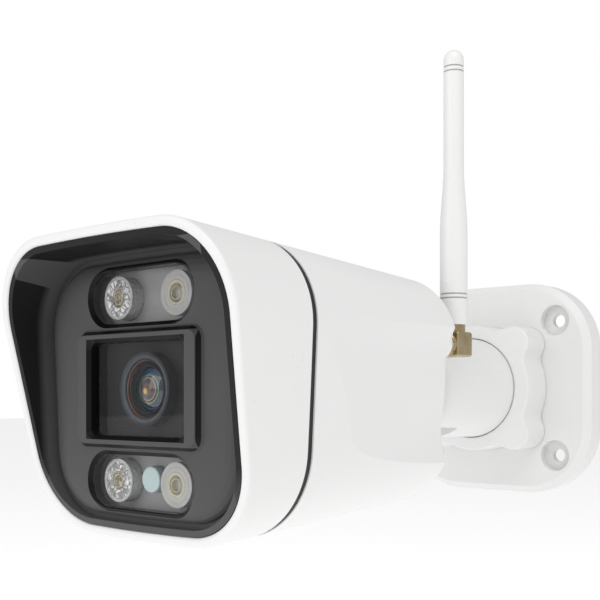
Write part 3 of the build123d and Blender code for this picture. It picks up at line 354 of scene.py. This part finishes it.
def mask_black():
    made = Finish("mask_black", (0.011, 0.011, 0.012), roughness=0.42)
    made.shader.inputs["Specular IOR Level"].default_value = 0.25
    made.feed("Base Color", made.mix(made.noise(160.0), (0.009, 0.009, 0.01), (0.016, 0.016, 0.018)))
    made.feed("Roughness", made.noise(1000.0) * 0.2 + 0.33)
    made.bump(made.noise(1400.0, 2.0), 0.000006)
    return made


def band_grey():
    """Grey rings let into the antenna, slightly uneven in tone and gloss."""
    made = Finish("band_grey", (0.42, 0.42, 0.42), roughness=0.4)
    made.feed("Base Color", made.mix(made.noise(300.0), (0.46, 0.46, 0.46), (0.36, 0.36, 0.36)))
    made.feed("Roughness", made.noise(500.0) * 0.2 + 0.3)
    made.bump(made.noise(2000.0), 0.00002)
    return made


def connector_cream():
    """Nylon connector bodies with rows of contact slots, painted dark as shade in their holes."""
    made = Finish("connector_cream", (0.72, 0.69, 0.6), roughness=0.38)
    across, _, up = made.axes()
    slots = (across.wave(2.0 * MM) > 0.55) * (up.wave(3.1 * MM) > 0.2)
    nylon = made.mix(made.noise(70.0), (0.74, 0.71, 0.62), (0.68, 0.64, 0.55))
    # Painted shade: the slots are coloured dark brown where the holes would be in shade.
    made.feed("Base Color", made.mix(slots, nylon, (0.12, 0.11, 0.09)))
    made.feed("Roughness", made.noise(600.0) * 0.15 + 0.3)
    made.bump(slots * -1.0 + made.noise(1500.0) * 0.1, 0.0001)
    return made


# ---------------------------------------------------------------- metals
def brass():
    """Machined brass: turning lines, a brown tarnish in patches and slightly dull highlights."""
    made = Finish("brass", (0.4, 0.33, 0.19), metallic=1.0, roughness=0.33)
    lines = made.noise(1.0, 2.0, made.place((260.0, 260.0, 5200.0)))
    tarnish = made.ramp(made.noise(190.0, 5.0), 0.42, 0.68)
    made.feed("Base Color", made.mix(tarnish, (0.47, 0.39, 0.235), (0.33, 0.255, 0.13)))
    made.feed("Roughness", tarnish * 0.14 + lines * 0.1 + 0.2)
    made.bump(lines, 0.00002)
    return made


def steel():
    """Zinc-plated steel with a fine rolled grain and a cloudy plating."""
    made = Finish("steel", (0.58, 0.58, 0.57), metallic=1.0, roughness=0.3)
    grain = made.noise(1.0, 3.0, made.place((300.0, 6000.0, 300.0)))
    cloud = made.noise(220.0, 4.0)
    made.feed("Base Color", made.mix(cloud, (0.62, 0.62, 0.61), (0.47, 0.47, 0.48)))
    made.feed("Roughness", cloud * 0.16 + grain * 0.1 + 0.16)
    made.bump(grain, 0.00001)
    return made


def sink_metal():
    """Extruded aluminium with drawing lines along its fins."""
    made = Finish("sink_metal", (0.5, 0.51, 0.52), metallic=1.0, roughness=0.42)
    lines = made.noise(1.0, 3.0, made.place((5000.0, 300.0, 120.0)))
    made.feed("Base Color", made.mix(lines, (0.55, 0.56, 0.57), (0.4, 0.41, 0.42)))
    made.feed("Roughness", lines * 0.2 + 0.3)
    made.bump(lines, 0.00002)
    return made


def washer_grey():
    """Grey nylon of the friction washer and the cable gland, polished in rings where it rubs."""
    made = Finish("washer_grey", (0.2, 0.2, 0.205), roughness=0.45)
    rings = made.radius(0.0, 0.0).wave(0.7 * MM)
    made.feed("Base Color", made.mix(made.noise(90.0), (0.22, 0.22, 0.225), (0.17, 0.17, 0.175)))
    made.feed("Roughness", rings * 0.05 + made.noise(400.0) * 0.15 + 0.36)
    made.bump(made.noise(1500.0), 0.00004)
    return made


# ---------------------------------------------------------------- boards
def board_green():
    """Printed board: solder mask over copper tracks, with tinned pads in rows."""
    made = Finish("board_green", (0.02, 0.14, 0.06), roughness=0.34)
    across, _, up = made.axes()
    track = (made.cells(260.0, "DISTANCE_TO_EDGE") < 0.06)
    pads = (across.wave(2.5 * MM) > 0.8) * (up.wave(3.7 * MM) > 0.8)
    mask = made.mix(track, (0.012, 0.11, 0.045), (0.03, 0.2, 0.085))
    made.feed("Base Color", made.mix(pads, mask, (0.6, 0.6, 0.58)))
    made.feed("Metallic", pads * 0.9)
    made.feed("Roughness", made.noise(500.0) * 0.1 + 0.28)
    made.bump(track + pads, 0.00003)
    return made


def chip_black():
    """Moulded chip package: grainy, with small pale marks."""
    made = Finish("chip_black", (0.014, 0.014, 0.015), roughness=0.5)
    dot = (made.cells(190.0) < 0.11)
    top = made.mix(made.noise(300.0), (0.012, 0.012, 0.013), (0.022, 0.022, 0.023))
    made.feed("Base Color", made.mix(dot, top, (0.09, 0.09, 0.09)))
    made.feed("Roughness", made.noise(900.0) * 0.2 + 0.4)
    made.bump(made.noise(3000.0), 0.00003)
    return made


def pad_grey():
    """Soft thermal pad: grey silicone with a pressed weave."""
    made = Finish("pad_grey", (0.3, 0.31, 0.33), roughness=0.7)
    across, _, up = made.axes()
    weave = across.wave(0.9 * MM) * up.wave(0.9 * MM)
    made.feed("Base Color", made.mix(made.ramp(weave, -1.0, 1.0), (0.27, 0.28, 0.3), (0.34, 0.35, 0.37)))
    made.feed("Roughness", made.noise(400.0) * 0.1 + 0.62)
    made.bump(weave, 0.00005)
    return made


def emitter_yellow():
    """Light-emitting chips: grainy yellow phosphor."""
    made = Finish("emitter_yellow", (0.85, 0.66, 0.16), roughness=0.5)
    grain = made.ramp(made.noise(1400.0, 4.0), 0.35, 0.65)
    made.feed("Base Color", made.mix(grain, (0.9, 0.72, 0.2), (0.74, 0.5, 0.08)))
    made.feed("Roughness", grain * 0.2 + 0.4)
    made.bump(grain, 0.00004)
    return made


# ---------------------------------------------------------------- optics
def lens_black():
    """Anodised lens barrel: turned rings, a blue-grey mouth and a dark cone with thin coloured rings."""
    made = Finish("lens_black", (0.02, 0.021, 0.024), metallic=0.35, roughness=0.38)
    reach = made.radius(LENS.x, LENS.z)
    mouth = made.ramp(reach, *MOUTH)
    cone = made.ramp(reach, *CONE)
    lines = reach.wave(TURNING_PITCH)
    dark = made.mix(made.noise(240.0), (0.018, 0.019, 0.022), (0.03, 0.032, 0.036))
    pale = made.mix(mouth, dark, (0.085, 0.105, 0.13))
    inner = made.mix(cone, pale, (0.006, 0.009, 0.012))
    teal = made.mix(reach.between(*CONE_TEAL), inner, (0.02, 0.09, 0.1))
    made.feed("Base Color", made.mix(reach.between(*CONE_ORANGE), teal, (0.2, 0.07, 0.02)))
    made.feed("Roughness", lines * 0.06 + made.noise(600.0) * 0.1 + 0.3)
    made.bump(lines, 0.00006)
    return made


def optical_glass():
    """Coated lens glass: a brown pupil with a painted gold glint, thin coloured rings, and a painted teal
    and blue reflection in the coating.
    """
    made = Finish("optical_glass", (0.01, 0.02, 0.03), roughness=0.03, coat_weight=1.0, coat_roughness=0.01)
    reach = made.radius(LENS.x, LENS.z)
    across, _, up = made.axes()
    # Painted reflection: the coating's teal turns to blue from one side of the glass to the other, laid on
    # in noisy patches.
    side = made.ramp(across - LENS.x + (up - LENS.z) * 0.6, -REFLECTION_REACH, REFLECTION_REACH)
    bloom = made.mix(side, (0.005, 0.04, 0.05), (0.01, 0.025, 0.09))
    reflection_patches = made.mix(made.ramp(made.noise(230.0, 2.0), 0.4, 0.62), (0.004, 0.008, 0.014), bloom)
    green = made.mix(reach.between(*GREEN_RING), reflection_patches, (0.03, 0.3, 0.12))
    orange = made.mix(reach.between(*ORANGE_RING), green, (0.6, 0.2, 0.03))
    dark = made.mix(reach < STOP, orange, (0.006, 0.006, 0.008))
    brown = made.mix(reach < PUPIL, dark, (0.09, 0.045, 0.015))
    # Painted highlight: a gold glint just off the centre of the pupil.
    glint = made.ramp(made.radius(LENS.x - GLINT_SHIFT, LENS.z - GLINT_SHIFT), *GLINT)
    pupil = made.mix(glint, brown, (0.62, 0.4, 0.13))
    blue = made.mix(reach.between(*BLUE_RING), pupil, (0.03, 0.08, 0.16))
    made.feed("Base Color", blue)
    made.feed("Roughness", made.noise(300.0) * 0.03 + 0.02)
    return made


def filter_glass():
    """Thin filter panes with a cyan coating that drifts to magenta."""
    made = Finish("filter_glass", (0.1, 0.3, 0.32), roughness=0.05, coat_weight=0.8)
    drift = made.noise(180.0, 2.0)
    made.feed("Base Color", made.mix(drift, (0.06, 0.34, 0.36), (0.26, 0.1, 0.3)))
    made.feed("Roughness", drift * 0.05 + 0.03)
    return made


def pipe_teal():
    """Frosted light pipe: pale at its face and deeper teal down its side."""
    made = Finish("pipe_teal", (0.42, 0.56, 0.58), roughness=0.42)
    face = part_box("light_pipe")[0].y
    _, out, _ = made.axes()
    depth = made.ramp(out, face, face + 3.5 * MM)
    shade = depth + made.noise(500.0) * 0.2
    made.feed("Base Color", made.mix(shade, (0.55, 0.68, 0.69), (0.14, 0.26, 0.29)))
    made.feed("Roughness", made.noise(900.0) * 0.2 + 0.34)
    made.bump(made.noise(2600.0), 0.00005)
    return made


def light_lens():
    """Lamp lenses: crumpled facets with painted highlights on them in the -X pair, a frosted disc with a
    yellowish ring in the +X pair.
    """
    made = Finish("light_lens", (0.8, 0.8, 0.8), roughness=0.12, coat_weight=0.6)
    across, _, up = made.axes()
    centre = (LAMP_X[0] + LAMP_X[1]) / 2
    off_x = abs(across - centre) - (LAMP_X[1] - LAMP_X[0]) / 2
    off_z = abs(up - (LAMP_Z[0] + LAMP_Z[1]) / 2) - (LAMP_Z[1] - LAMP_Z[0]) / 2
    reach = (off_x * off_x + off_z * off_z).root()
    crease = made.cells(620.0, "DISTANCE_TO_EDGE",
                        made.node("ShaderNodeVectorMath", {"operation": "ADD"}, made.place(),
                                  made.node("ShaderNodeVectorMath", {"operation": "SCALE"},
                                            made.node("ShaderNodeTexNoise", {}, out=1, Vector=made.place(),
                                                      Scale=330.0), Scale=0.004)))
    # Painted highlights: noisy patches of the facets are painted near-white, and the rest of each facet is
    # grey.
    clear = made.ramp(made.noise(520.0, 2.0), 0.42, 0.6)
    facets = made.mix(made.ramp(crease, 0.03, 0.16), (0.2, 0.2, 0.205), made.mix(clear, (0.96, 0.96, 0.95),
                                                                               (0.34, 0.34, 0.345)))
    warm = made.mix(made.ramp(abs(reach - 1.9 * MM), 0.7 * MM, 0.2 * MM) * 0.6, facets, (0.72, 0.62, 0.36))
    rim = made.mix(reach > 4.6 * MM, warm, (0.5, 0.5, 0.5))
    ring = made.ramp(abs(reach - 2.4 * MM), 0.8 * MM, 0.3 * MM)
    frost = made.mix(made.noise(500.0), (0.5, 0.5, 0.49), (0.38, 0.38, 0.375))
    frosted = made.mix(ring, frost, (0.56, 0.52, 0.36))
    heart = made.mix(reach < 1.2 * MM, frosted, (0.62, 0.6, 0.52))
    made.feed("Base Color", made.mix(across > centre, rim, heart))
    made.feed("Roughness", (across > centre) * 0.3 + made.noise(500.0) * 0.06 + 0.06)
    made.bump(crease * ((across < centre) * 1.0) + reach.wave(0.9 * MM) * 0.04, 0.0006)
    return made


def clear_cover():
    """Clear window: light passes through, with a thin gloss on top and a trace of dust."""
    made = Finish("clear_cover", (0.97, 0.97, 0.97), roughness=0.03)
    through = made.node("ShaderNodeBsdfTransparent", {}, (0.97, 0.97, 0.97, 1.0))
    gloss = made.node("ShaderNodeBsdfGlossy", {}, (1.0, 1.0, 1.0, 1.0), made.noise(400.0) * 0.03 + 0.01)
    slant = made.node("ShaderNodeLayerWeight", {}, 0.5, out=1)
    film = slant * slant * slant * 0.3 + made.ramp(made.noise(80.0, 5.0), 0.3, 0.8) * 0.006 + 0.008
    both = made.node("ShaderNodeMixShader", {}, film, through, gloss)
    made.tree.links.new(both.socket, made.tree.nodes["Material Output"].inputs["Surface"])
    return made


body_white().on("rear_housing", "front_hood")
bracket_white().on("wall_plate", "lock_ring", "swivel_head", "tilt_arm")
antenna_white().on("antenna_sleeve")
panel_dark().on("front_panel")
seal = rubber().on("panel_gasket", "arm_seal", "mic_boot")
holder_grey().on("upper_light_holder", "lower_light_holder")
band_grey().on("antenna_bands")
mask_black().on("lens_mask", "lens_holder", "filter_shuttle", "filter_coil")
chip_black().on("image_sensor", "processor", "light_sensor")
board_green().on("upper_light_board", "lower_light_board", "sensor_board", "main_board")
connector_cream().on("board_connectors")
pad_grey().on("thermal_pad")
washer = washer_grey().on("friction_washer", "cable_gland")
yellow_brass = brass().on("antenna_elbow", "antenna_neck", "antenna_coupling", "jack_nut", "antenna_jack",
                          "standoffs", "tilt_insert", "antenna_radiator")
steel().on("tilt_screw", "arm_nut", "housing_screws", "microphone", "board_screws", "radio_module")
sink_metal().on("heat_sink")
barrel = lens_black().on("lens_barrel", "lens_nut")
optical_glass().on("front_element", "rear_elements")
filter_glass().on("filter_panes")
pipe_teal().on("light_pipe")
lamp = light_lens().on("light_lenses")
emitter_yellow().on("light_emitters")
clear_cover().on("lens_window", "upper_light_window", "lower_light_window")


# ---------------------------------------------------------------- pieces added to the frame
def piece(name, builder, finish, body, smooth=True):
    """Turns a finished bmesh into an object that rides on a body."""
    bmesh.ops.recalc_face_normals(builder, faces=builder.faces)
    mesh = bpy.data.meshes.new(name)
    builder.to_mesh(mesh)
    builder.free()
    mesh.materials.append(finish.material)
    mesh.shade_smooth() if smooth else mesh.shade_flat()
    made = bpy.data.objects.new(name, mesh)
    bpy.context.scene.collection.objects.link(made)
    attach(made, body)
    return made


def turned(builder, points, centre, steps=96):
    """Spins a closed profile of (radius, y) points round a line along Y through a centre."""
    verts = [builder.verts.new((centre.x + radius, y, centre.z)) for radius, y in points]
    edges = [builder.edges.new(pair) for pair in zip(verts, verts[1:] + verts[:1])]
    bmesh.ops.spin(builder, geom=verts + edges, cent=(centre.x, 0, centre.z), axis=(0, 1, 0),
                   angle=2 * math.pi, steps=steps, use_merge=True)


def seal_band():
    """The rubber band between the shells, grown outwards so that it stands nearly flush with them."""
    builder = bmesh.new()
    builder.from_mesh(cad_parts["body_seal"].data)
    bmesh.ops.remove_doubles(builder, verts=builder.verts, dist=0.001 * MM)
    centre = middle("body_seal")
    bmesh.ops.scale(builder, vec=(SEAL_GROWTH, 1.0, SEAL_GROWTH), verts=builder.verts,
                    space=Matrix.Translation(-centre))
    made = piece("seal_band", builder, seal, "camera", smooth=False)
    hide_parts("body_seal")


def lens_rings():
    """Three thin stepped rings inside the mouth of the lens barrel, above the glass."""
    builder = bmesh.new()
    for index in range(TRAP_COUNT):
        inner = (TRAP_RADIUS + TRAP_STEP * index) * MM
        y = LENS.y + (TRAP_DEPTH - TRAP_PITCH * index) * MM
        outer = inner + TRAP_WIDTH
        trap = [(inner, y), (outer, y - TRAP_FRONT), (outer, y + TRAP_BACK), (inner, y + TRAP_BACK)]
        turned(builder, trap, LENS)
    piece("lens_rings", builder, barrel, "camera")


def lamp_rings():
    """Stepped rings moulded into the face of each lamp lens."""
    builder = bmesh.new()
    for x in LAMP_X:
        for z in LAMP_Z:
            for radius in LAMP_RINGS:
                ring = [((radius - LAMP_RING_INSIDE) * MM, LAMP_FRONT + LAMP_RING_BACK),
                        (radius * MM, LAMP_FRONT - LAMP_RING_PROUD),
                        ((radius + LAMP_RING_OUTSIDE) * MM, LAMP_FRONT + LAMP_RING_BACK)]
                turned(builder, ring, Vector((x, 0, z)), steps=48)
    piece("lamp_rings", builder, lamp, "camera")


def ridges(count, size, reach, y, centre, edge):
    """Small bevelled blocks set in a ring round a line along Y through a centre."""
    builder = bmesh.new()
    for index in range(count):
        turn = Matrix.Rotation(2 * math.pi * index / count, 4, "Y")
        made = bmesh.ops.create_cube(builder, size=1.0)["verts"]
        bmesh.ops.scale(builder, vec=size, verts=made)
        bmesh.ops.translate(builder, vec=(0, y, reach), verts=made)
        bmesh.ops.rotate(builder, matrix=turn, verts=made, cent=(0, 0, 0))
        bmesh.ops.translate(builder, vec=(centre.x, 0, centre.z), verts=made)
    bmesh.ops.bevel(builder, geom=builder.edges[:], offset=edge, segments=2, profile=0.5, material=-1,
                    affect="EDGES")
    return builder


def gland_ribs():
    """Grip ribs round the cable gland's tapered end."""
    low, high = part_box("cable_gland")
    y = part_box("rear_housing")[1].y + GLAND_RIB_BEHIND
    builder = ridges(GLAND_RIBS, GLAND_RIB, (high.x - low.x) / 2, y, GLAND, GLAND_RIB_EDGE)
    piece("gland_ribs", builder, washer, "camera")


def coupling_knurl():
    """Fine knurl round the antenna's coupling."""
    low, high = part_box("antenna_coupling")
    size = (KNURL_WIDTH, (high.y - low.y) * KNURL_SHARE, KNURL_HEIGHT)
    builder = ridges(KNURL_RIDGES, size, (high.x - low.x) / 2 - KNURL_SINK, JACK.y, JACK, KNURL_EDGE)
    piece("coupling_knurl", builder, yellow_brass, "camera")


seal_band()
lens_rings()
lamp_rings()
gland_ribs()
coupling_knurl()

# ---------------------------------------------------------------- studio
FLOOR_DROP = 0.12
FLOOR_SIZE = 6.0


def studio():
    floor_mesh = bpy.data.meshes.new("floor")
    builder = bmesh.new()
    bmesh.ops.create_grid(builder, x_segments=1, y_segments=1, size=FLOOR_SIZE)
    bmesh.ops.translate(builder, verts=builder.verts, vec=(0, 0, cad_box[0][2] - FLOOR_DROP))
    builder.to_mesh(floor_mesh)
    builder.free()
    floor = bpy.data.objects.new("floor", floor_mesh)
    bpy.context.scene.collection.objects.link(floor)
    pale = Finish("floor_pale", (0.96, 0.96, 0.96), roughness=0.9, emission_strength=0.3)
    pale.shader.inputs["Emission Color"].default_value = (1, 1, 1, 1)
    floor_mesh.materials.append(pale.material)
    world = bpy.data.worlds.new("studio")
    world.use_nodes = True
    tree = world.node_tree
    soft = tree.nodes["Background"]
    soft.inputs["Color"].default_value = (1, 1, 1, 1)
    soft.inputs["Strength"].default_value = 0.6
    seen = tree.nodes.new("ShaderNodeBackground")
    seen.inputs["Color"].default_value = (1, 1, 1, 1)
    path = tree.nodes.new("ShaderNodeLightPath")
    both = tree.nodes.new("ShaderNodeMixShader")
    for output, target in ((path.outputs["Is Camera Ray"], both.inputs[0]),
                           (soft.outputs[0], both.inputs[1]),
                           (seen.outputs[0], both.inputs[2]),
                           (both.outputs[0], tree.nodes["World Output"].inputs[0])):
        tree.links.new(output, target)
    bpy.context.scene.world = world
    bpy.context.scene.view_settings.view_transform = "Standard"


def softbox(name, where, size, power, target):
    light = bpy.data.lights.new(name, "AREA")
    light.shape = "RECTANGLE"
    light.size, light.size_y = size
    light.energy = power
    made = bpy.data.objects.new(name, light)
    made.location = where
    made.rotation_euler = (Vector(target) - Vector(where)).to_track_quat("-Z", "Y").to_euler()
    bpy.context.scene.collection.objects.link(made)


VIEW_AZIMUTH = math.radians(40.43)
VIEW_FOCAL = 59.1
VIEW_OFFSET = Vector((0.1819, -0.1557, -0.0019))
VIEW_SHIFT = 97 / 600


def camera():
    data = bpy.data.cameras.new("camera")
    data.lens = VIEW_FOCAL
    data.sensor_width = 36.0
    data.shift_y = VIEW_SHIFT
    view = bpy.data.objects.new("camera", data)
    view.location = LENS + VIEW_OFFSET
    view.rotation_euler = (math.pi / 2, 0, VIEW_AZIMUTH)
    bpy.context.scene.collection.objects.link(view)
    bpy.context.scene.camera = view


studio()
camera()
softbox("key", (0.5, -0.5, 1.0), (0.8, 0.8), 5.5, (0, -0.1, 0))
softbox("fill", (-0.3, -1.1, 0.35), (0.7, 0.7), 2.2, (0, -0.1, 0))
